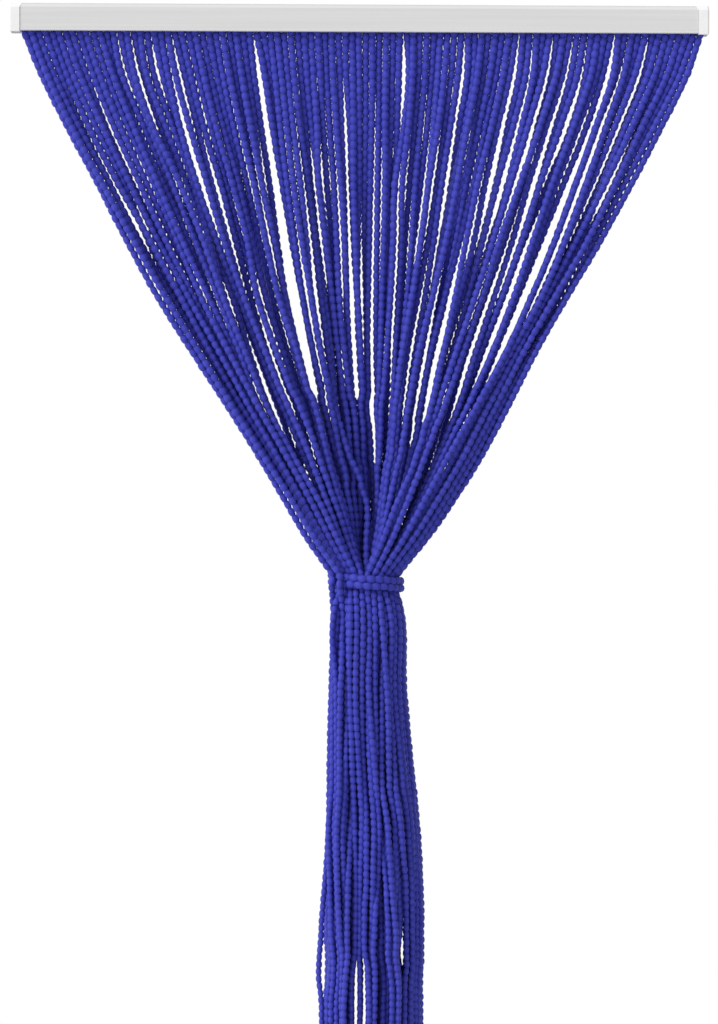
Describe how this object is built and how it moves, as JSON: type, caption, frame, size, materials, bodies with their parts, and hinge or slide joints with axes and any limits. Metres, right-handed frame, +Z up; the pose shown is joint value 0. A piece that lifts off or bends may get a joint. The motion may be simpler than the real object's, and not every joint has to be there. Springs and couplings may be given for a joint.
{
  "type": "beaded fly screen curtain and rail",
  "caption": "Door fly curtain of beaded strands hanging from a slim rail, gathered and tied half way down with one of its own strands.",
  "frame": {"origin": "on the rail's flat top face, half way along the rail; the curtain hangs below it", "axes": "+X along the rail to the viewer's right, +Y back through the doorway, +Z up"},
  "size_m": [0.9, 0.1086, 1.9968],
  "materials": {
    "rail_paint": "white powder coat, satin",
    "cap_plastic": "moulded white plastic",
    "strand_blue": "matt soft plastic beads, deep blue"
  },
  "bodies": {
    "root": {"rail": "rail_paint", "end_cap_left": "cap_plastic", "end_cap_right": "cap_plastic", "strand_curtain": "strand_blue", "tie": "strand_blue"}
  },
  "joints": []
}
